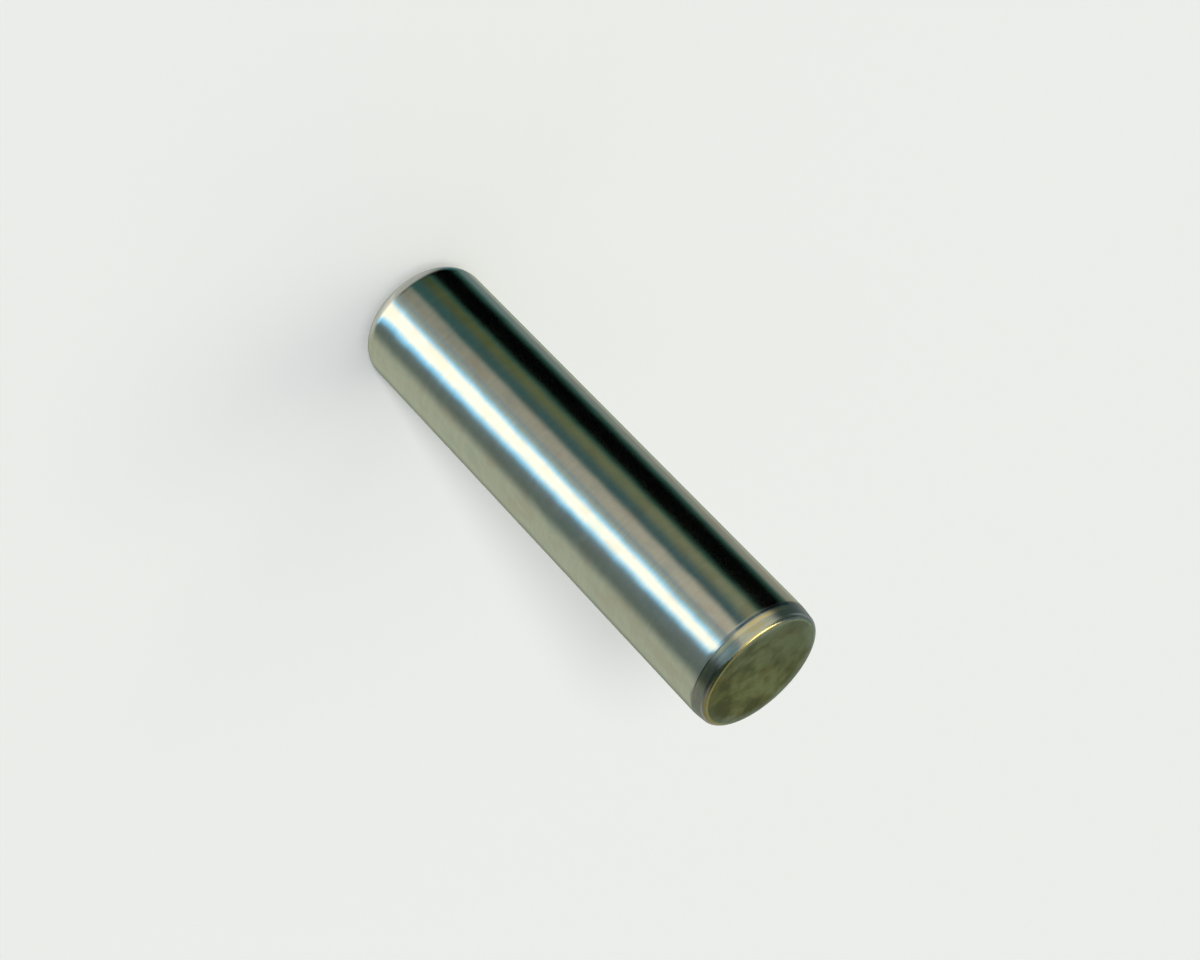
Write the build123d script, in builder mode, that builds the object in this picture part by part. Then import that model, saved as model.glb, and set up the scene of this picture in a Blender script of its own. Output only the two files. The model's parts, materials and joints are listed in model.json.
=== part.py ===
from build123d import *

import os
from math import radians, tan

# A hardened and ground dowel pin: one turned piece, standing on its crowned end.
# The axis is Z. The origin is the centre of the flat on the crowned end, and the tapered lead is at the top.

# Whole pin, in millimetres: a quarter inch by one inch, ground a little over nominal for a press fit
shank_diameter = 6.355
pin_length = 25.4

# Tapered lead, which starts the pin in its hole, and the broken edge between the taper and its flat face
lead_length = 0.75
lead_angle_deg = 8.0
lead_edge_radius = 0.25

# Crowned end, which takes the press or the mallet: a flat inside a full corner radius
crown_radius = 0.95

shank_radius = shank_diameter / 2
lead_start = pin_length - lead_length
lead_face_radius = shank_radius - lead_length * tan(radians(lead_angle_deg))
crown_flat_radius = shank_radius - crown_radius

with BuildPart() as dowel_pin:
    # Half section, with the radius along the sketch's X and the height along its Y
    with BuildSketch(Plane.XZ) as half_section:
        with BuildLine():
            crown_flat = Line((0, 0), (crown_flat_radius, 0))
            crown_corner = RadiusArc(crown_flat @ 1, (shank_radius, crown_radius), -crown_radius)
            shank_wall = Line(crown_corner @ 1, (shank_radius, lead_start))
            lead_taper = Line(shank_wall @ 1, (lead_face_radius, pin_length))
            lead_face = Line(lead_taper @ 1, (0, pin_length))
            Line(lead_face @ 1, crown_flat @ 0)
        make_face()
        lead_edge = half_section.vertices().group_by(Axis.Y)[-1].sort_by(Axis.X)[-1]
        fillet(lead_edge, radius=lead_edge_radius)
    revolve(axis=Axis.Z)

dowel_pin.part.label = "dowel_pin"

os.makedirs("parts", exist_ok=True)
export_step(dowel_pin.part, "parts/dowel_pin.step")
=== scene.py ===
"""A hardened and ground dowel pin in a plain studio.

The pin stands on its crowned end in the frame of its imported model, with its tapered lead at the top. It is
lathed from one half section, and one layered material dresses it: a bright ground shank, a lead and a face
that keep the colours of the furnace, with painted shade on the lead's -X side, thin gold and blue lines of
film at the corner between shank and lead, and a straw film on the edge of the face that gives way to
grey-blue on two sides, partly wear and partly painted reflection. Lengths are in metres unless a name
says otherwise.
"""

import json
import logging
import math
from dataclasses import dataclass
from enum import Enum
from typing import Any, Mapping, Optional, Sequence, Union

import bmesh
import bpy
from mathutils import Matrix, Vector

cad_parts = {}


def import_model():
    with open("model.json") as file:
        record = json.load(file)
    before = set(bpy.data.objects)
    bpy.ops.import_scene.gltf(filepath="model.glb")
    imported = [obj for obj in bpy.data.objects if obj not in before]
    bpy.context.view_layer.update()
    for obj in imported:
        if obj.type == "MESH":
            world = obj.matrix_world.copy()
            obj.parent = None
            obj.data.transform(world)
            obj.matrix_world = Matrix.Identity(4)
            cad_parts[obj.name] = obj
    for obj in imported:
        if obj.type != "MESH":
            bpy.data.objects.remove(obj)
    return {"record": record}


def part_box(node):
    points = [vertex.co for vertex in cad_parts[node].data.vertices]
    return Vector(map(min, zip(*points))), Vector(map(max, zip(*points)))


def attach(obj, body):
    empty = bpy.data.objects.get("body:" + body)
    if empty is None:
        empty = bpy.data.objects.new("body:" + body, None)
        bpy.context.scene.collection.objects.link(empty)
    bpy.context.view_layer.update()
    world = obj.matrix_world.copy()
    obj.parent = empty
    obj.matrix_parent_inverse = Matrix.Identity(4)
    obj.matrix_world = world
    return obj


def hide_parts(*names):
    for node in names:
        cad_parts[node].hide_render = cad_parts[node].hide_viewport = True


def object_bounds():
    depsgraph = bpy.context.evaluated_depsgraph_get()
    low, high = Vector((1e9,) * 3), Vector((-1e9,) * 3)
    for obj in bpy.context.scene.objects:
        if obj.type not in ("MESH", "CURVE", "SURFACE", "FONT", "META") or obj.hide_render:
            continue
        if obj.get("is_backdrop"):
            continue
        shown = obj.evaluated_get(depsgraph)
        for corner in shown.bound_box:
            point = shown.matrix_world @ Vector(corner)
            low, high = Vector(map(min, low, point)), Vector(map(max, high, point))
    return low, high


LOG = logging.getLogger("dowel_pin")
PIN_NODE = "dowel_pin"
PIN_BODY = "root"
SHANK_MOUNT = "shank"
UNWRAP_LAYER = "OFBake"
MM = 0.001
FULL_TURN = 2 * math.pi
RIGHT_ANGLE = math.pi / 2
DEG_PER_RADIAN = math.degrees(1)
NOISE_MIDDLE = 0.5
BARE_METAL = 1.0

Colour = tuple[float, float, float]
Span = tuple[float, float]
Way = tuple[float, float]
Value = Union["Wire", float]
Tone = Union["Wire", Colour]


class Wire:
    """One output of a node, on which arithmetic adds Math nodes to the same tree."""

    def __init__(self, graph: "NodeGraph", socket: Optional[bpy.types.NodeSocket]) -> None:
        """Keeps the tree and the socket."""
        self.graph = graph
        self.socket = socket

    def output(self, name: str) -> "Wire":
        """Another output of the same node."""
        return Wire(self.graph, self.socket.node.outputs[name])

    def __add__(self, other: Value) -> "Wire":
        """This value plus the other."""
        return self.graph.math("ADD", self, other)

    def __radd__(self, other: Value) -> "Wire":
        """The other value plus this."""
        return self.graph.math("ADD", other, self)

    def __sub__(self, other: Value) -> "Wire":
        """This value less the other."""
        return self.graph.math("SUBTRACT", self, other)

    def __rsub__(self, other: Value) -> "Wire":
        """The other value less this."""
        return self.graph.math("SUBTRACT", other, self)

    def __mul__(self, other: Value) -> "Wire":
        """This value times the other."""
        return self.graph.math("MULTIPLY", self, other)

    def __rmul__(self, other: Value) -> "Wire":
        """The other value times this."""
        return self.graph.math("MULTIPLY", other, self)

    def __abs__(self) -> "Wire":
        """This value without its sign."""
        return self.graph.math("ABSOLUTE", self)


class NodeGraph:
    """A node tree that is written as expressions."""

    # The sockets that a Mix node has for colours
    MIX_FACTOR, MIX_UNDER, MIX_OVER, MIX_RESULT = 0, 6, 7, 2

    def __init__(self, tree: bpy.types.NodeTree) -> None:
        """Empties the tree and keeps it."""
        self.tree = tree
        tree.nodes.clear()

    def node(
        self,
        kind: str,
        settings: Optional[Mapping[str, Any]] = None,
        sockets: Optional[Mapping[Union[str, int], Any]] = None,
        output: Union[str, int] = 0,
    ) -> Wire:
        """Adds one node.

        Args:
            kind: the node's type.
            settings: its properties, which are set first; "stops" holds a colour ramp's places and colours.
            sockets: a value or a wire for each input, by name or by index.
            output: the output that is handed back.

        Returns:
            That output, or a wire with no socket for a node that has none.
        """
        made = self.tree.nodes.new(kind)
        for name, value in (settings or {}).items():
            if name == "stops":
                self._set_stops(made.color_ramp, value)
            else:
                setattr(made, name, value)
        for name, value in (sockets or {}).items():
            self._feed(made.inputs[name], value)
        return Wire(self, made.outputs[output] if len(made.outputs) else None)

    def _feed(self, socket: bpy.types.NodeSocket, value: Any) -> None:
        """Links a wire to an input, or sets the input's own value.

        Args:
            socket: the input.
            value: a wire, a number, or a tuple for a colour or a vector.
        """
        if isinstance(value, Wire):
            self.tree.links.new(value.socket, socket)
        elif socket.type == "RGBA":
            socket.default_value = (*value, 1.0)
        else:
            socket.default_value = value

    @staticmethod
    def _set_stops(ramp: bpy.types.ColorRamp, stops: Sequence[tuple[float, Colour]]) -> None:
        """Gives a colour ramp its stops.

        Args:
            ramp: the ramp, which starts with two stops.
            stops: each stop's place from 0 to 1 and its colour.
        """
        while len(ramp.elements) < len(stops):
            ramp.elements.new(1.0)
        for element, (place, colour) in zip(ramp.elements, stops):
            element.position = place
            element.color = (*colour, 1.0)

    def math(self, operation: str, *values: Value) -> Wire:
        """One Math node."""
        return self.node("ShaderNodeMath", {"operation": operation}, dict(enumerate(values)))

    def step(self, value: Value, low: float, high: float) -> Wire:
        """A smooth step from 0 at low to 1 at high, or back again where low is above high.

        Args:
            value: what is compared.
            low: where the step starts.
            high: where it ends.

        Returns:
            The step, from 0 to 1.
        """
        rises = low < high
        ends = (low, high, 0.0, 1.0) if rises else (high, low, 1.0, 0.0)
        return self.node(
            "ShaderNodeMapRange",
            {"interpolation_type": "SMOOTHSTEP"},
            dict(enumerate((value, *ends))),
        )

    def blend(self, mask: Wire, under: Value, over: Value) -> Value:
        """The under value where the mask is 0, and the over value where it is 1."""
        return under if under == over else under + (over - under) * mask

    def tint(self, mask: Value, under: Tone, over: Tone) -> Wire:
        """The under colour where the mask is 0, and the over colour where it is 1."""
        sockets = {self.MIX_FACTOR: mask, self.MIX_UNDER: under, self.MIX_OVER: over}
        return self.node("ShaderNodeMix", {"data_type": "RGBA"}, sockets, self.MIX_RESULT)

    def ramp(self, value: Wire, places: Sequence[float], colours: Sequence[Colour]) -> Wire:
        """A colour that follows a value through a few places, each with its own colour."""
        return self.node("ShaderNodeValToRGB", {"stops": list(zip(places, colours))}, {0: value})

    def vector(self, x: Value, y: Value, z: Value) -> Wire:
        """A vector of three values."""
        return self.node("ShaderNodeCombineXYZ", None, {0: x, 1: y, 2: z})

    def combine(self, operation: str, *values: Any) -> Wire:
        """One Vector Math node."""
        return self.node("ShaderNodeVectorMath", {"operation": operation}, dict(enumerate(values)))

    def noise(self, at: Wire, detail: float, twist: float = 0.0) -> Wire:
        """Cloudy noise from 0 to 1, with a grain of about one unit.

        Args:
            at: the place, stretched as the grain should be.
            detail: how many finer layers are added.
            twist: how far the grain is twisted.

        Returns:
            The noise.
        """
        sockets = {"Vector": at, "Scale": 1.0, "Detail": detail, "Distortion": twist}
        return self.node("ShaderNodeTexNoise", {"noise_dimensions": "3D"}, sockets)

    def wander(self, noise: Wire, reach: float) -> Wire:
        """A noise as a wander to either side of nothing."""
        return (noise - NOISE_MIDDLE) * reach


@dataclass(frozen=True)
class Spot:
    """The place that is being shaded, in millimetres of the pin's own frame."""

    graph: NodeGraph
    x: Wire
    y: Wire
    z: Wire
    radius: Wire

    @classmethod
    def of(cls, graph: NodeGraph) -> "Spot":
        """Reads the place from the object's own coordinates.

        Args:
            graph: the material's tree.

        Returns:
            The place.
        """
        seat = graph.node("ShaderNodeTexCoord", output="Object")
        axes = graph.node("ShaderNodeSeparateXYZ", None, {0: seat})
        x, y, z = (axes.output(name) * (1 / MM) for name in "XYZ")
        return cls(graph, x, y, z, graph.math("SQRT", x * x + y * y))

    def stretched(self, across: float, along: float) -> Wire:
        """The place scaled across the axis and along it, for a grain of that many to the millimetre."""
        return self.graph.vector(self.x * across, self.y * across, self.z * along)

    def toward(self, way: Way) -> Wire:
        """How far out the place lies along a level way."""
        return self.x * way[0] + self.y * way[1]


@dataclass(frozen=True)
class Grain:
    """A cloudy grain: how many to the millimetre across the axis and along it, and how broken it is."""

    across_per_mm: float
    along_per_mm: float
    detail: float
    twist: float = 0.0

    def over(self, spot: Spot) -> Wire:
        """The grain at a place, from 0 to 1."""
        at = spot.stretched(self.across_per_mm, self.along_per_mm)
        return spot.graph.noise(at, self.detail, self.twist)


@dataclass(frozen=True)
class Drift:
    """A broad change across the pin: the level way it goes, and the span over which it comes on."""

    way: Way
    span_mm: Span

    def over(self, spot: Spot, wander_mm: Value = 0.0) -> Wire:
        """How far the change has come at a place, from 0 to 1, where a wander shifts its front."""
        return spot.graph.step(spot.toward(self.way) + wander_mm, *self.span_mm)


@dataclass(frozen=True)
class Coat:
    """What one finish gives to the shader at each spot, with its relief in millimetres."""

    graph: NodeGraph
    colour: Wire
    roughness: Value
    metallic: Value
    relief_mm: Value

    def under(self, top: "Coat", mask: Wire) -> "Coat":
        """Lays another finish over this one.

        Args:
            top: the finish that lies over this one.
            mask: where it does, from 0 to 1.

        Returns:
            The two as one.
        """
        blend = self.graph.blend
        return Coat(
            self.graph,
            self.graph.tint(mask, self.colour, top.colour),
            blend(mask, self.roughness, top.roughness),
            blend(mask, self.metallic, top.metallic),
            blend(mask, self.relief_mm, top.relief_mm),
        )


@dataclass(frozen=True)
class GroundShank:
    """Centreless-ground steel: bright, with a fine lay round the pin and a faint waviness along it."""

    bright: Colour = (0.74, 0.735, 0.68)
    dull: Colour = (0.70, 0.70, 0.65)
    handled: Colour = (0.69, 0.640, 0.575)
    oiled: Colour = (0.625, 0.665, 0.635)
    lay: Grain = Grain(0.22, 7.0, 3.0)
    smears: Grain = Grain(0.95, 0.65, 2.5, 0.15)
    waves: Grain = Grain(0.75, 0.60, 1.0)
    # How far into its grain each colour begins and is full, and how strong the smears are
    bright_span: Span = (0.32, 0.68)
    handled_span: Span = (0.51, 0.66)
    oiled_span: Span = (0.47, 0.34)
    smear_share: float = 0.7
    smear_dulling: float = 0.6
    lay_dulling: float = 0.4
    roughness: Span = (0.11, 0.19)
    lay_depth_mm: float = 0.0003
    wave_depth_mm: float = 0.0140

    def coat(self, spot: Spot) -> Coat:
        """Makes the finish.

        Args:
            spot: the place that is shaded.

        Returns:
            The finish there.
        """
        graph = spot.graph
        lay = self.lay.over(spot)
        smears = self.smears.over(spot)
        colour = graph.tint(graph.step(lay, *self.bright_span), self.dull, self.bright)
        colour = graph.tint(graph.step(smears, *self.handled_span) * self.smear_share, colour, self.handled)
        colour = graph.tint(graph.step(smears, *self.oiled_span) * self.smear_share, colour, self.oiled)
        roughness = graph.blend(smears * self.smear_dulling + lay * self.lay_dulling, *self.roughness)
        relief = lay * self.lay_depth_mm + self.waves.over(spot) * self.wave_depth_mm
        return Coat(graph, colour, roughness, BARE_METAL, relief)


@dataclass(frozen=True)
class TurnedLead:
    """The turned lead, which the grinding wheel never reaches: fine rings under a thin furnace film, and
    painted shade that darkens and cools its -X side.
    """

    steel: Colour = (0.60, 0.61, 0.52)
    straw: Colour = (0.66, 0.57, 0.36)
    plum: Colour = (0.50, 0.45, 0.46)
    slate: Colour = (0.38, 0.47, 0.50)
    rings: Grain = Grain(0.10, 9.0, 2.0)
    film: Grain = Grain(0.8, 4.0, 2.0, 0.2)
    # How film and rings share the colour, and where it goes from plum through steel to straw
    film_share: float = 0.8
    ring_share: float = 0.2
    plum_span: Span = (0.33, 0.46)
    straw_span: Span = (0.54, 0.67)
    # Painted shade, in a slate film colour: the lead is darker and bluer on its -X side
    slate_shade_side: Drift = Drift((-1.0, 0.0), (1.5, 2.9))
    slate_shade_wander_mm: float = 1.2
    slate_shade_share: float = 0.85
    roughness: Span = (0.16, 0.25)
    ring_depth_mm: float = 0.0006

    def coat(self, spot: Spot) -> Coat:
        """Makes the finish.

        Args:
            spot: the place that is shaded.

        Returns:
            The finish there.
        """
        graph = spot.graph
        rings = self.rings.over(spot)
        film = self.film.over(spot)
        places = (*self.plum_span, *self.straw_span)
        colours = (self.plum, self.steel, self.steel, self.straw)
        colour = graph.ramp(film * self.film_share + rings * self.ring_share, places, colours)
        # Painted shade: slate over the lead's -X side
        slate_shaded = self.slate_shade_side.over(spot, graph.wander(film, self.slate_shade_wander_mm))
        colour = graph.tint(slate_shaded * self.slate_shade_share, colour, self.slate)
        roughness = graph.blend(rings, *self.roughness)
        return Coat(graph, colour, roughness, BARE_METAL, rings * self.ring_depth_mm)


@dataclass(frozen=True)
class FilmEdge:
    """A burnished edge with a furnace film, straw unless told otherwise, broken by small bright nicks."""

    film: Colour = (0.84, 0.66, 0.32)
    bright: Colour = (0.76, 0.73, 0.56)
    nicks: Grain = Grain(2.4, 2.4, 3.0, 0.8)
    bright_span: Span = (0.46, 0.66)
    roughness: float = 0.20
    nick_depth_mm: float = 0.003

    def coat(self, spot: Spot) -> Coat:
        """Makes the finish.

        Args:
            spot: the place that is shaded.

        Returns:
            The finish there.
        """
        graph = spot.graph
        nicks = self.nicks.over(spot)
        colour = graph.tint(graph.step(nicks, *self.bright_span), self.film, self.bright)
        return Coat(graph, colour, self.roughness, BARE_METAL, nicks * self.nick_depth_mm)


@dataclass(frozen=True)
class FilmLine:
    """A thin line of film round the corner between shank and lead, patchy, and on one side of the pin."""

    finish: FilmEdge
    height_mm: float
    fade_mm: Span
    patch_span: Span
    side: Drift
    share: float = 1.0

    def mask(self, spot: Spot, above_corner_mm: Wire, patches: Wire) -> Wire:
        """Finds where the line lies.

        Args:
            spot: the place that is shaded.
            above_corner_mm: how far that place is above the corner.
            patches: how much film there is.

        Returns:
            The line, from 0 to 1.
        """
        line = spot.graph.step(abs(above_corner_mm - self.height_mm), *self.fade_mm)
        return line * spot.graph.step(patches, *self.patch_span) * self.side.over(spot) * self.share


@dataclass(frozen=True)
class FurnaceFace:
    """A turned end face under a satin furnace film: olive brown and clouded, with a paler grey-blue rim on
    its far and near sides that is partly wear and partly painted reflection.
    """

    dark: Colour = (0.146, 0.138, 0.072)
    middling: Colour = (0.234, 0.228, 0.120)
    pale: Colour = (0.362, 0.360, 0.218)
    brown: Colour = (0.294, 0.238, 0.110)
    thin: Colour = (0.246, 0.266, 0.240)
    # The rim's paler grey-blue is partly bare steel and partly painted reflection
    rim: Colour = (0.53, 0.54, 0.60)
    clouds: Grain = Grain(0.80, 0.80, 5.0, 0.5)
    flecks: Grain = Grain(2.0, 2.0, 3.0)
    ring_per_mm: float = 5.5
    ring_detail: float = 2.0
    ring_wander: float = 0.5
    # How the grains share the mottle, and where it goes from dark to pale
    cloud_share: float = 0.60
    fleck_share: float = 0.28
    ring_share: float = 0.12
    film_places: tuple[float, float, float] = (0.41, 0.50, 0.59)
    brown_span: Span = (0.48, 0.70)
    brown_share: float = 0.6
    # Where the film is thinner and paler, and the side towards +X and -Y where it is darker
    thinning: Drift = Drift((-0.8, -0.35), (-0.8, 2.6))
    thin_wander_mm: float = 3.5
    thin_share: float = 0.6
    thin_paling: float = 0.04
    darker_side: Drift = Drift((1.0, -1.0), (1.0, 3.6))
    darker_side_drop: float = 0.06
    # Where round the rim the film gives way to a paler grey-blue, partly wear and partly painted reflection,
    # and how near the rim that begins and is full
    wear_and_sheen_far: Drift = Drift((0.0, 1.0), (-2.0, 1.8))
    wear_and_sheen_near: Drift = Drift((-0.42, -0.91), (2.3, 2.75))
    wear_and_sheen_span_mm: Span = (-0.55, 0.05)
    wear_and_sheen_wander_mm: float = 0.7
    wear_and_sheen_share: float = 0.7
    roughness: Span = (0.36, 0.52)
    metallic: float = 0.95
    ring_depth_mm: float = 0.0016
    cloud_depth_mm: float = 0.010

    def coat(self, spot: Spot, rim_mm: float) -> Coat:
        """Makes the finish.

        Args:
            spot: the place that is shaded.
            rim_mm: the radius of the face, near which the film gives way to the paler grey-blue rim.

        Returns:
            The finish there.
        """
        graph = spot.graph
        clouds = self.clouds.over(spot)
        flecks = self.flecks.over(spot)
        turned = graph.vector(spot.radius * self.ring_per_mm, clouds * self.ring_wander, 0.0)
        rings = graph.noise(turned, self.ring_detail)
        # Painted reflection, partly wear: the rim is paler and grey-blue on the far and near sides
        wear_and_sheen = self._worn(spot, clouds, rim_mm)
        colour = graph.tint(wear_and_sheen, self._film(spot, clouds, flecks, rings), self.rim)
        roughness = graph.blend(flecks, *self.roughness)
        metallic = graph.blend(wear_and_sheen, self.metallic, BARE_METAL)
        relief = rings * self.ring_depth_mm + clouds * self.cloud_depth_mm
        return Coat(graph, colour, roughness, metallic, relief)

    def _film(self, spot: Spot, clouds: Wire, flecks: Wire, rings: Wire) -> Wire:
        """Colours the film, which is thinner on one side of the face, and darker towards +X and -Y.

        Args:
            spot: the place that is shaded.
            clouds: the broad grain there.
            flecks: the fine grain there.
            rings: the marks of the turning there.

        Returns:
            The film's colour.
        """
        graph = spot.graph
        thinned = self.thinning.over(spot, graph.wander(clouds, self.thin_wander_mm))
        # The film darkens towards +X and -Y
        on_darker_side = self.darker_side.over(spot)
        mottle = clouds * self.cloud_share + flecks * self.fleck_share + rings * self.ring_share
        mottle = mottle + thinned * self.thin_paling - on_darker_side * self.darker_side_drop
        film = graph.ramp(mottle, self.film_places, (self.dark, self.middling, self.pale))
        film = graph.tint(graph.step(flecks, *self.brown_span) * self.brown_share, film, self.brown)
        return graph.tint(thinned * self.thin_share, film, self.thin)

    def _worn(self, spot: Spot, clouds: Wire, rim_mm: float) -> Wire:
        """Finds where the film gives way to a paler grey-blue rim, partly wear and partly painted
        reflection.

        Args:
            spot: the place that is shaded.
            clouds: the broad grain there, which frays the rim's edge.
            rim_mm: the radius of the face.

        Returns:
            The paler rim, from 0 to 1.
        """
        graph = spot.graph
        past_rim = spot.radius - rim_mm + graph.wander(clouds, self.wear_and_sheen_wander_mm)
        sides = self.wear_and_sheen_far.over(spot) + self.wear_and_sheen_near.over(spot)
        return graph.step(past_rim, *self.wear_and_sheen_span_mm) * sides * self.wear_and_sheen_share


# The room on the unwrapped surface that the barrel takes, and a millimetre of a disc
BARREL_WIDTH = 0.73
BARREL_HEIGHT = 0.98
DISC_PER_MM = 0.036


class Island(Enum):
    """The part of the unwrapped surface that a stretch of a half section is on, and where it lies."""

    CROWN_FLAT = (0.875, 0.55)
    BARREL = (0.01, 0.01)
    LEAD_FACE = (0.875, 0.85)

    def lay(self, turn: float, mark: float, radius: float) -> tuple[float, float]:
        """Places a point of the surface on its island.

        Args:
            turn: how far round the pin it is, from 0 to 1.
            mark: how far up the barrel it is, from 0 to 1.
            radius: how far from the axis it is.

        Returns:
            Its place on the unwrapped surface.
        """
        across, up = self.value
        if self is Island.BARREL:
            return across + BARREL_WIDTH * turn, up + BARREL_HEIGHT * mark
        reach = radius / MM * DISC_PER_MM
        return across + reach * math.cos(FULL_TURN * turn), up + reach * math.sin(FULL_TURN * turn)


@dataclass(frozen=True)
class SectionPoint:
    """One point of a half section: its radius, its height and the island of the stretch that ends there."""

    radius: float
    height: float
    island: Island


class HalfSection:
    """Half of a turned shape's section, drawn in lines and arcs from the foot of the axis."""

    def __init__(self) -> None:
        """Starts at the foot of the axis."""
        self.points = [SectionPoint(0.0, 0.0, Island.CROWN_FLAT)]

    def line(self, radius: float, height: float, steps: int, island: Island = Island.BARREL) -> None:
        """Adds a straight run from the last point.

        Args:
            radius: the radius at the end of the run.
            height: the height there.
            steps: how many points are added.
            island: the island that the run is part of.
        """
        last = self.points[-1]
        for i in range(1, steps + 1):
            share = i / steps
            across = last.radius + (radius - last.radius) * share
            up = last.height + (height - last.height) * share
            self.points.append(SectionPoint(across, up, island))

    def arc(self, radius: float, height: float, size: float, start: float, end: float, steps: int) -> None:
        """Adds an arc about a centre, from one direction of its normal to another.

        Args:
            radius: the centre's distance from the axis.
            height: the centre's height.
            size: the arc's own radius.
            start: the first direction, from level, in radians.
            end: the last direction.
            steps: how many points are added.
        """
        for i in range(1, steps + 1):
            turn = start + (end - start) * i / steps
            across, up = size * math.cos(turn), size * math.sin(turn)
            self.points.append(SectionPoint(radius + across, height + up, Island.BARREL))

    def barrel_marks(self) -> list[float]:
        """Shares out the height of the unwrapped barrel, half by length and half by steps.

        Returns:
            Each point's height on the barrel, from 0 to 1.
        """
        runs = [0.0]
        steps = [0]
        for last, point in zip(self.points, self.points[1:]):
            counts = point.island is Island.BARREL
            reach = math.hypot(point.radius - last.radius, point.height - last.height)
            runs.append(runs[-1] + reach * counts)
            steps.append(steps[-1] + counts)
        return [(run / runs[-1] + step / steps[-1]) / 2 for run, step in zip(runs, steps)]

    def lathe(self, name: str, around: int) -> bpy.types.Object:
        """Turns the half section about Z into a smooth mesh, unwrapped as a barrel and discs.

        Args:
            name: the new object's name.
            around: how many steps make a full turn.

        Returns:
            The object, in the scene.
        """
        mesh = bpy.data.meshes.new(name)
        work = bmesh.new()
        layer = work.loops.layers.uv.new(UNWRAP_LAYER)
        marks = self.barrel_marks()
        rings = [self._ring(work, point, around) for point in self.points]
        for row, point in enumerate(self.points[1:]):
            for column in range(around):
                corners = {}
                for i, j in ((row, column), (row, column + 1), (row + 1, column + 1), (row + 1, column)):
                    vertex = rings[i][j % len(rings[i])]
                    place = point.island.lay(j / around, marks[i], self.points[i].radius)
                    corners.setdefault(vertex, place)
                face = work.faces.new(list(corners))
                face.smooth = True
                for loop, place in zip(face.loops, corners.values()):
                    loop[layer].uv = place
        work.to_mesh(mesh)
        work.free()
        piece = bpy.data.objects.new(name, mesh)
        bpy.context.scene.collection.objects.link(piece)
        return piece

    @staticmethod
    def _ring(work: bmesh.types.BMesh, point: SectionPoint, around: int) -> list[bmesh.types.BMVert]:
        """Turns one point about Z, or leaves it single on the axis.

        Args:
            work: the mesh that is being made.
            point: the point of the half section.
            around: how many steps make a full turn.

        Returns:
            The new vertices.
        """
        turns = [FULL_TURN * i / around for i in range(around if point.radius > 0 else 1)]
        across = [(point.radius * math.cos(turn), point.radius * math.sin(turn)) for turn in turns]
        return [work.verts.new((x, y, point.height)) for x, y in across]


@dataclass(frozen=True)
class PinSteps:
    """How many steps draw each stretch of the pin's half section, and a full turn of it."""

    crown_flat: int = 6
    crown: int = 28
    shank: int = 36
    corner: int = 12
    lead: int = 6
    edge: int = 24
    face: int = 14
    around: int = 320


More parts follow.
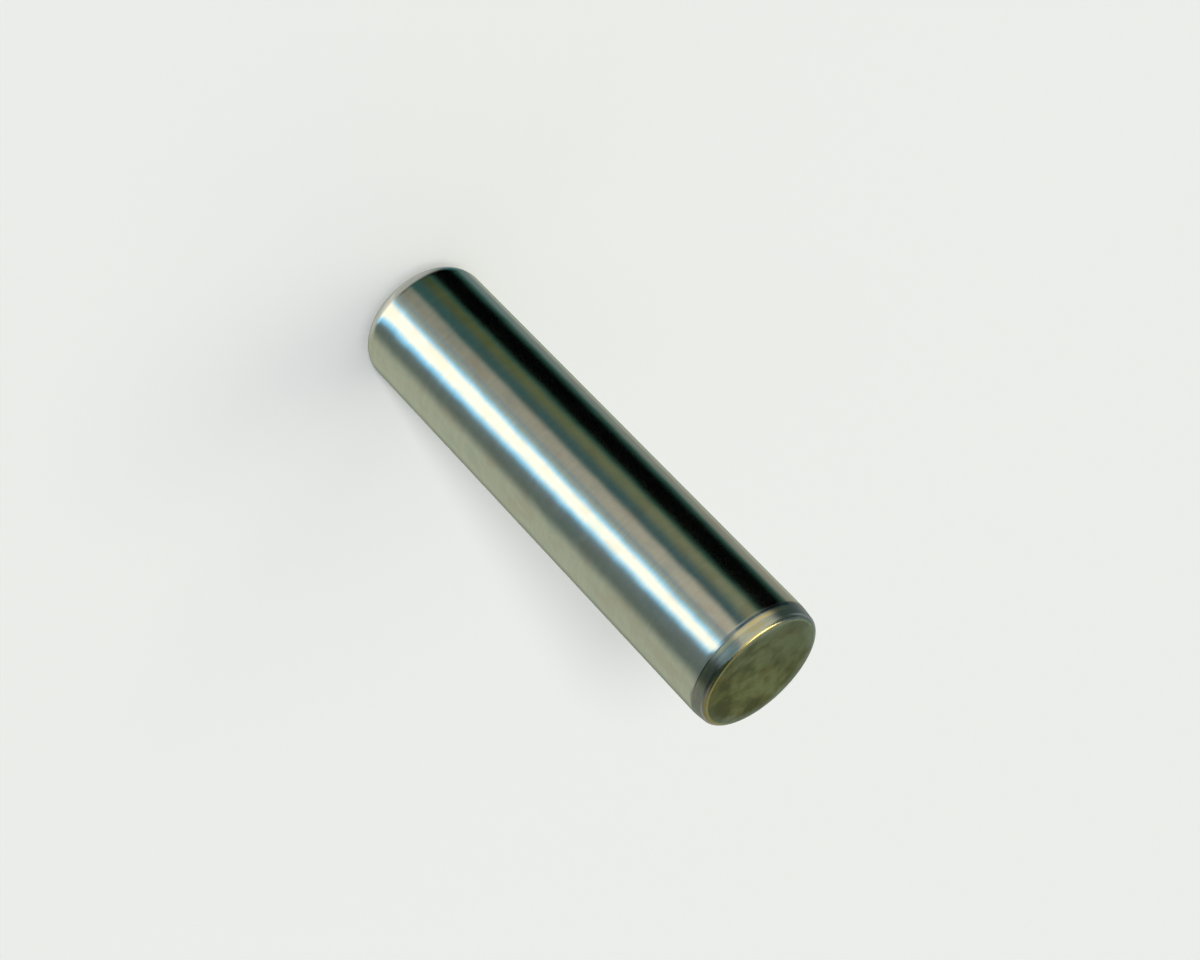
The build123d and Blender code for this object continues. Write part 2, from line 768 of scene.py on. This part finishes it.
@dataclass
class DowelPin:
    """The pin: a ground shank between a crowned end, on which it stands, and a tapered lead."""

    radius: float
    length: float
    crown_radius: float
    lead_start: float
    lead_angle_deg: float = 8.0
    lead_edge_radius: float = 0.25 * MM
    corner_round: float = 2.40 * MM
    steps: PinSteps = PinSteps()
    shank: GroundShank = GroundShank()
    lead: TurnedLead = TurnedLead()
    # How far above the corner the lead's finish begins and is full, and the lines of film beside it
    lead_span_mm: Span = (0.04, 0.12)
    film_patches: Grain = Grain(0.45, 0.45, 2.0)
    film_slope_per_mm: Way = (-0.06, -0.04)
    blue_line: FilmLine = FilmLine(
        finish=FilmEdge((0.15, 0.21, 0.28), (0.24, 0.30, 0.36)),
        height_mm=0.01,
        fade_mm=(0.15, 0.01),
        patch_span=(0.36, 0.70),
        side=Drift((-1.0, 0.0), (-0.9, 0.7)),
    )
    gold_line: FilmLine = FilmLine(
        finish=FilmEdge((0.90, 0.72, 0.40), (0.84, 0.76, 0.54)),
        height_mm=0.20,
        fade_mm=(0.14, 0.03),
        patch_span=(0.38, 0.64),
        side=Drift((1.0, 0.0), (-3.0, -2.0)),
        share=0.9,
    )
    # The edge of the face, and where its straw film gives way to grey-blue, partly wear and partly painted
    # reflection
    straw_edge: FilmEdge = FilmEdge()
    worn_edge_and_sheen: FilmEdge = FilmEdge((0.44, 0.50, 0.53), (0.60, 0.63, 0.62))
    edge_span_mm: Span = (0.12, 0.20)
    wear_and_sheen_left: Drift = Drift((-1.0, 0.0), (1.5, 2.5))
    wear_and_sheen_far: Drift = Drift((0.0, 1.0), (0.6, 2.0))
    # The finish of both ends, where past their radii it begins and is full, and the height between them
    face: FurnaceFace = FurnaceFace()
    face_span_mm: Span = (0.07, -0.06)
    flat_span_mm: Span = (0.05, -0.05)
    upper_span_mm: Span = (-1.0, -0.9)

    @classmethod
    def from_frame(cls, record: Mapping[str, Any]) -> "DowelPin":
        """Takes the pin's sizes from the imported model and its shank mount.

        Args:
            record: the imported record.

        Returns:
            The pin.
        """
        low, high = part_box(PIN_NODE)
        shank = next(mount for mount in record["mounts"] if mount["name"] == SHANK_MOUNT)
        middle, half = shank["pos_m"][2], shank["dims"]["length_mm"] * MM / 2
        return cls(shank["dims"]["r_mm"] * MM, high.z - low.z, middle - half - low.z, middle + half)

    @property
    def lead_angle(self) -> float:
        """The lead's slope from the axis, in radians."""
        return math.radians(self.lead_angle_deg)

    @property
    def flat_radius(self) -> float:
        """The radius of the flat that the pin stands on, inside its crown."""
        return self.radius - self.crown_radius

    @property
    def face_radius(self) -> float:
        """The radius of the flat part of the lead face, inside its rounded edge."""
        corner = self.radius - (self.length - self.lead_start) * math.tan(self.lead_angle)
        return corner - self.lead_edge_radius * math.tan((RIGHT_ANGLE - self.lead_angle) / 2)

    @property
    def edge_height(self) -> float:
        """The height of the centre of the lead face's rounded edge."""
        return self.length - self.lead_edge_radius

    def half_section(self) -> HalfSection:
        """Draws the half section from the foot of the axis to its top.

        Returns:
            The half section.
        """
        steps, angle = self.steps, self.lead_angle
        corner, edge = self.corner_round, self.lead_edge_radius
        corner_start = self.lead_start - corner * math.tan(angle / 2)
        taper_end = self.face_radius + edge * math.cos(angle)
        section = HalfSection()
        section.line(self.flat_radius, 0.0, steps.crown_flat, Island.CROWN_FLAT)
        section.arc(self.flat_radius, self.crown_radius, self.crown_radius, -RIGHT_ANGLE, 0.0, steps.crown)
        section.line(self.radius, corner_start, steps.shank)
        section.arc(self.radius - corner, corner_start, corner, 0.0, angle, steps.corner)
        section.line(taper_end, self.edge_height + edge * math.sin(angle), steps.lead)
        section.arc(self.face_radius, self.edge_height, edge, angle, RIGHT_ANGLE, steps.edge)
        section.line(0.0, self.length, steps.face, Island.LEAD_FACE)
        return section

    def build(self) -> bpy.types.Object:
        """Lathes the pin and puts it in the frame.

        Returns:
            The piece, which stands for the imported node.
        """
        piece = self.half_section().lathe("ground_pin", self.steps.around)
        piece.data.materials.append(self.material())
        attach(piece, PIN_BODY)
        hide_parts(PIN_NODE)
        return piece

    def material(self) -> bpy.types.Material:
        """Dresses the pin in its finishes.

        Returns:
            The material.
        """
        made = bpy.data.materials.new("pin_steel")
        made.use_nodes = True
        graph = NodeGraph(made.node_tree)
        coat = self.coat(Spot.of(graph))
        bump = graph.node("ShaderNodeBump", None, {"Distance": MM, "Height": coat.relief_mm})
        sockets = {
            "Base Color": coat.colour,
            "Roughness": coat.roughness,
            "Metallic": coat.metallic,
            "Normal": bump,
        }
        shader = graph.node("ShaderNodeBsdfPrincipled", None, sockets)
        graph.node("ShaderNodeOutputMaterial", None, {"Surface": shader})
        return made

    def coat(self, spot: Spot) -> Coat:
        """Lays each finish over the last one, where the pin has it.

        Args:
            spot: the place that is shaded.

        Returns:
            The pin's finish there.
        """
        graph = spot.graph
        above_corner = spot.z - self.lead_start / MM
        on_lead = graph.step(above_corner, *self.lead_span_mm)
        coat = self.shank.coat(spot).under(self.lead.coat(spot), on_lead)
        patches = self.film_patches.over(spot) + spot.toward(self.film_slope_per_mm)
        for line in (self.blue_line, self.gold_line):
            coat = coat.under(line.finish.coat(spot), line.mask(spot, above_corner, patches))
        at_edge = graph.step(spot.z - self.edge_height / MM, *self.edge_span_mm)
        # Painted reflection, partly wear: the edge turns grey-blue on its -X and far sides
        wear_and_sheen = graph.math("MAXIMUM", self.wear_and_sheen_left.over(spot), self.wear_and_sheen_far.over(spot))
        coat = coat.under(self.straw_edge.coat(spot), at_edge)
        coat = coat.under(self.worn_edge_and_sheen.coat(spot), at_edge * wear_and_sheen)
        upper = graph.step(above_corner, *self.upper_span_mm)
        on_face = graph.step(spot.radius - self.face_radius / MM, *self.face_span_mm) * upper
        on_flat = graph.step(spot.radius - self.flat_radius / MM, *self.flat_span_mm) * (1 - upper)
        on_end = graph.math("MAXIMUM", on_face, on_flat)
        return coat.under(self.face.coat(spot, self.face_radius / MM), on_end)


@dataclass(frozen=True)
class PhotoCamera:
    """The camera at the photograph's viewing angle, found from the pin's outline in the picture."""

    lens_mm: float = 72.0
    sensor_mm: float = 36.0
    picture_width_px: float = 1200.0
    pin_middle_px: tuple[float, float] = (-21.3, 2.8)
    depth: float = 106.4 * MM
    elevation_deg: float = 29.9
    pin_slant_deg: float = 45.9
    nearest: float = 1.0 * MM
    farthest: float = 20.0

    def build(self, middle: Vector) -> bpy.types.Object:
        """Places the camera, rolled so that the pin slants down to the right as in the picture.

        Args:
            middle: the pin's middle.

        Returns:
            The camera.
        """
        data = bpy.data.cameras.new("photo_camera")
        data.lens, data.sensor_width = self.lens_mm, self.sensor_mm
        data.clip_start, data.clip_end = self.nearest, self.farthest
        down = math.radians(self.elevation_deg)
        roll = RIGHT_ANGLE + math.radians(self.pin_slant_deg)
        ahead = Vector((0.0, math.cos(down), -math.sin(down)))
        level, rise = Vector((1.0, 0.0, 0.0)), Vector((0.0, math.sin(down), math.cos(down)))
        right = level * math.cos(roll) + rise * math.sin(roll)
        up = rise * math.cos(roll) - level * math.sin(roll)
        per_px = self.depth * self.sensor_mm / (self.lens_mm * self.picture_width_px)
        across_px, below_px = self.pin_middle_px
        place = middle - ahead * self.depth - right * across_px * per_px + up * below_px * per_px
        camera = bpy.data.objects.new("photo_camera", data)
        camera.matrix_world = Matrix.Translation(place) @ Matrix((right, up, -ahead)).transposed().to_4x4()
        bpy.context.scene.collection.objects.link(camera)
        bpy.context.scene.camera = camera
        return camera


class Ring(Enum):
    """The two rings of cards round the pin: the low one that its shank mirrors, and its lead's high one."""

    LOW = "low"
    HIGH = "high"


@dataclass(frozen=True)
class Card:
    """A card or a lamp box round the pin, over a span of azimuth.

    Azimuth 0 is the camera's side, and + is towards +X. With each degree of height the card's end leans by
    the lean, and its tone brightens by the lift.
    """

    name: str
    ring: Ring
    start_deg: float
    end_deg: float
    start_soft_deg: float
    end_soft_deg: float
    tone: Colour
    end_lean: float = 0.0
    lift: Colour = (0.0, 0.0, 0.0)
    least_gain: float = 0.3

    def over(self, behind: Tone, azimuth: Wire, above_deg: Wire) -> Wire:
        """Hangs the card in front of its ring.

        Args:
            behind: the colour of the ring so far.
            azimuth: the azimuth that is looked at, in degrees.
            above_deg: how far that look is above the elevation at which the card is set out.

        Returns:
            The colour of the ring with the card.
        """
        graph, start, end = azimuth.graph, self.start_deg, self.end_deg
        leaned = azimuth - above_deg * self.end_lean
        begins = graph.step(azimuth, start - self.start_soft_deg, start + self.start_soft_deg)
        ends = graph.step(leaned, end + self.end_soft_deg, end - self.end_soft_deg)
        return graph.tint(begins * ends, behind, self._shade(above_deg))

    def _shade(self, above_deg: Wire) -> Tone:
        """Works out the card's tone.

        Args:
            above_deg: how far the look is above the elevation at which the card is set out.

        Returns:
            The tone, as a wire where it changes with height.
        """
        if not any(self.lift):
            return self.tone
        graph = above_deg.graph
        height = graph.vector(above_deg, above_deg, above_deg)
        gain = graph.combine("MULTIPLY_ADD", height, self.lift, (1.0, 1.0, 1.0))
        return graph.combine("MULTIPLY", graph.combine("MAXIMUM", gain, (self.least_gain,) * 3), self.tone)


# The cards from back to front, each with its ring, its two ends, how soft they are, and its tone
STUDIO_CARDS = (
    Card("back_card", Ring.LOW, 150, 200, 12, 8, (0.235, 0.275, 0.200)),
    Card("back_card_end", Ring.LOW, -200, -163, 8, 9, (0.235, 0.275, 0.200)),
    Card("grey_flag", Ring.LOW, 30, 82, 6, 13, (0.132, 0.172, 0.155)),
    Card("cool_tail", Ring.LOW, 30, 58, 6, 9, (0.155, 0.200, 0.205)),
    Card("cool_glow", Ring.LOW, 11.0, 43.5, 4.5, 6, (0.360, 0.980, 1.500), -1.3),
    Card("white_strip", Ring.LOW, 16.5, 36.5, 4.5, 5, (1.550, 1.520, 1.300), -0.95),
    Card("cool_gap", Ring.LOW, -5, 4, 5, 6, (0.240, 0.315, 0.355)),
    Card("warm_card", Ring.LOW, -24, -4, 6, 5, (0.410, 0.392, 0.320), 0.0, (0.05, 0.045, 0.045)),
    Card("teal_flag", Ring.LOW, -66, -24, 6, 6, (0.046, 0.104, 0.110), 0.0, (0.04, 0.01, 0.02)),
    Card("olive_card", Ring.LOW, -90, -43.5, 6, 10, (0.158, 0.178, 0.094), 0.4, (0.09, 0.08, 0.13)),
    Card("cool_edge", Ring.LOW, -150, -90, 10, 6, (0.240, 0.266, 0.240), 0.0, (0.05, 0.02, 0.0)),
    Card("dark_fringe", Ring.LOW, -125, -62, 7, 6, (0.032, 0.110, 0.085)),
    Card("black_flag", Ring.LOW, -115.5, -68, 11, 7, (0.0, 0.0, 0.0)),
    Card("key_box", Ring.HIGH, -80, -6, 12, 8, (0.63, 0.64, 0.54)),
    Card("front_fill", Ring.HIGH, -6, 37, 8, 8, (0.18, 0.27, 0.33)),
    Card("dark_side", Ring.HIGH, 37, 86, 8, 14, (0.025, 0.038, 0.030)),
    Card("dim_side", Ring.HIGH, -132, -80, 14, 12, (0.06, 0.09, 0.08)),
)


@dataclass(frozen=True)
class BoomCard:
    """A round card or lamp overhead, in a direction from the pin, with the cosines of its soft rim."""

    name: str
    way: tuple[float, float, float]
    outer: float
    inner: float
    tone: Colour

    def over(self, behind: Wire, look: Wire) -> Wire:
        """Hangs the card in front of the room.

        Args:
            behind: the colour of the room so far.
            look: the direction that is looked in.

        Returns:
            The colour of the room with the card.
        """
        graph = look.graph
        facing = graph.combine("DOT_PRODUCT", look, Vector(self.way).normalized()).output("Value")
        return graph.tint(graph.step(facing, self.outer, self.inner), behind, self.tone)


BOOM_CARDS = (
    BoomCard("overhead_flag", (0.37, 0.20, 0.90), 0.925, 0.975, (0.01, 0.03, 0.02)),
    BoomCard("overhead_lamp", (-0.33, 0.20, 0.92), 0.955, 0.990, (2.60, 2.65, 1.90)),
    BoomCard("olive_board", (0.0, 0.87, 0.49), 0.925, 0.985, (0.290, 0.370, 0.175)),
)


@dataclass(frozen=True)
class Lamp:
    """A distant soft lamp, which the mirror-bright steel doesn't show."""

    name: str
    azimuth_deg: float
    elevation_deg: float
    spread_deg: float
    strength: float
    tone: Colour = (1.0, 1.0, 1.0)

    def build(self) -> bpy.types.Object:
        """Hangs the lamp.

        Returns:
            The lamp.
        """
        data = bpy.data.lights.new(self.name, "SUN")
        data.energy = self.strength
        data.angle = math.radians(self.spread_deg)
        data.color = self.tone
        lamp = bpy.data.objects.new(self.name, data)
        around, up = math.radians(self.azimuth_deg), math.radians(self.elevation_deg)
        way = Vector((math.sin(around) * math.cos(up), -math.cos(around) * math.cos(up), math.sin(up)))
        lamp.rotation_mode = "QUATERNION"
        lamp.rotation_quaternion = way.to_track_quat("Z", "Y")
        lamp.visible_glossy = False
        bpy.context.scene.collection.objects.link(lamp)
        return lamp


LAMPS = (
    Lamp("key_lamp", azimuth_deg=-4.5, elevation_deg=31.0, spread_deg=10.0, strength=2.3),
    Lamp(
        "fill_lamp",
        azimuth_deg=0.0,
        elevation_deg=90.0,
        spread_deg=120.0,
        strength=1.2,
        tone=(0.90, 0.88, 1.0),
    ),
)


@dataclass(frozen=True)
class Studio:
    """A pale floor that sweeps up round the pin, soft lamps, and the cards that the steel mirrors."""

    floor_tone: Colour = (0.78, 0.78, 0.765)
    floor_roughness: float = 0.9
    floor_radius: float = 0.55
    sweep_radius: float = 0.25
    wall_height: float = 0.30
    floor_steps: int = 4
    sweep_steps: int = 16
    floor_around: int = 96
    # The rings behind their cards, and the edge between them, which is higher in front of the pin
    low_room: Colour = (0.430, 0.465, 0.360)
    high_room: Colour = (0.19, 0.21, 0.205)
    ring_edge_deg: Span = (-22.8, -18.8)
    front_lift_deg: float = 6.5
    front_azimuths_deg: Span = (115.0, 80.0)
    # A pale foot below the low ring, and a wall in the high ring, behind the pin
    foot_tone: Colour = (0.58, 0.595, 0.565)
    foot_deg: Span = (-47.0, -64.0)
    foot_share: float = 0.8
    wall_tone: Colour = (0.36, 0.36, 0.35)
    wall_azimuths_deg: Span = (95.0, 125.0)
    wall_foot_deg: Span = (-15.0, -7.0)
    wall_top_deg: Span = (14.0, 4.0)
    # The elevation at which the cards are set out
    shank_view_deg: float = -30.0

    def build(self) -> bpy.types.Object:
        """Makes the floor, the lamps and the world.

        Returns:
            The floor.
        """
        floor = self._floor()
        for lamp in LAMPS:
            LOG.info("%s: strength %s", lamp.build().name, lamp.strength)
        self._world()
        LOG.info("cards: %s", ", ".join(card.name for card in STUDIO_CARDS + BOOM_CARDS))
        return floor

    def _floor(self) -> bpy.types.Object:
        """Makes the floor, which the mirror-bright steel doesn't show.

        Returns:
            The floor.
        """
        wall_radius = self.floor_radius + self.sweep_radius
        section = HalfSection()
        section.line(self.floor_radius, 0.0, self.floor_steps)
        section.arc(
            self.floor_radius, self.sweep_radius, self.sweep_radius, -RIGHT_ANGLE, 0.0, self.sweep_steps
        )
        section.line(wall_radius, self.sweep_radius + self.wall_height, 1)
        floor = section.lathe("studio_floor", self.floor_around)
        floor.visible_glossy = False
        floor.visible_diffuse = False
        floor.visible_shadow = False
        made = bpy.data.materials.new("floor_paper")
        made.use_nodes = True
        graph = NodeGraph(made.node_tree)
        sockets = {
            "Base Color": self.floor_tone,
            "Roughness": self.floor_roughness,
            "Specular IOR Level": 0.0,
        }
        shader = graph.node("ShaderNodeBsdfPrincipled", None, sockets)
        graph.node("ShaderNodeOutputMaterial", None, {"Surface": shader})
        floor.data.materials.append(made)
        floor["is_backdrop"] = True
        return floor

    def _world(self) -> None:
        """Hangs the cards round the pin as the world that its steel mirrors."""
        world = bpy.data.worlds.new("studio")
        bpy.context.scene.world = world
        world.use_nodes = True
        world.cycles.sampling_method = "NONE"
        graph = NodeGraph(world.node_tree)
        look = graph.node("ShaderNodeTexCoord", output="Generated")
        axes = graph.node("ShaderNodeSeparateXYZ", None, {0: look})
        azimuth = graph.math("ARCTAN2", axes.output("X"), 0 - axes.output("Y")) * DEG_PER_RADIAN
        elevation = graph.math("ARCSINE", axes.output("Z")) * DEG_PER_RADIAN
        room = self._rings(azimuth, elevation)
        for boom in BOOM_CARDS:
            room = boom.over(room, look)
        background = graph.node("ShaderNodeBackground", None, {"Color": room})
        graph.node("ShaderNodeOutputWorld", None, {"Surface": background})

    def _rings(self, azimuth: Wire, elevation: Wire) -> Wire:
        """Hangs the two rings of cards, with a pale foot below them and a wall behind the pin.

        Args:
            azimuth: the azimuth that is looked at, in degrees.
            elevation: the elevation that is looked at, in degrees.

        Returns:
            The colour there.
        """
        graph = azimuth.graph
        rings = {Ring.LOW: self.low_room, Ring.HIGH: self.high_room}
        above = elevation - self.shank_view_deg
        for card in STUDIO_CARDS:
            rings[card.ring] = card.over(rings[card.ring], azimuth, above)
        foot = graph.step(elevation, *self.foot_deg) * self.foot_share
        low = graph.tint(foot, rings[Ring.LOW], self.foot_tone)
        wall = graph.step(abs(azimuth), *self.wall_azimuths_deg)
        wall = wall * graph.step(elevation, *self.wall_foot_deg) * graph.step(elevation, *self.wall_top_deg)
        high = graph.tint(wall, rings[Ring.HIGH], self.wall_tone)
        front = graph.step(abs(azimuth), *self.front_azimuths_deg)
        level = elevation - front * self.front_lift_deg
        return graph.tint(graph.step(level, *self.ring_edge_deg), low, high)


def main() -> None:
    """Builds the camera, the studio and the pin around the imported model."""
    logging.basicConfig(level=logging.INFO, format="%(name)s: %(message)s")
    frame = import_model()
    cad_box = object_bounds()
    bpy.context.scene.view_settings.view_transform = "Standard"
    middle = (cad_box[0] + cad_box[1]) / 2
    camera = PhotoCamera().build(middle)
    LOG.info("%s: %s mm lens", camera.name, camera.data.lens)
    floor = Studio().build()
    LOG.info("%s: %d faces", floor.name, len(floor.data.polygons))
    piece = DowelPin.from_frame(frame["record"]).build()
    LOG.info("%s: %d faces", piece.name, len(piece.data.polygons))


if __name__ == "__main__":
    main()
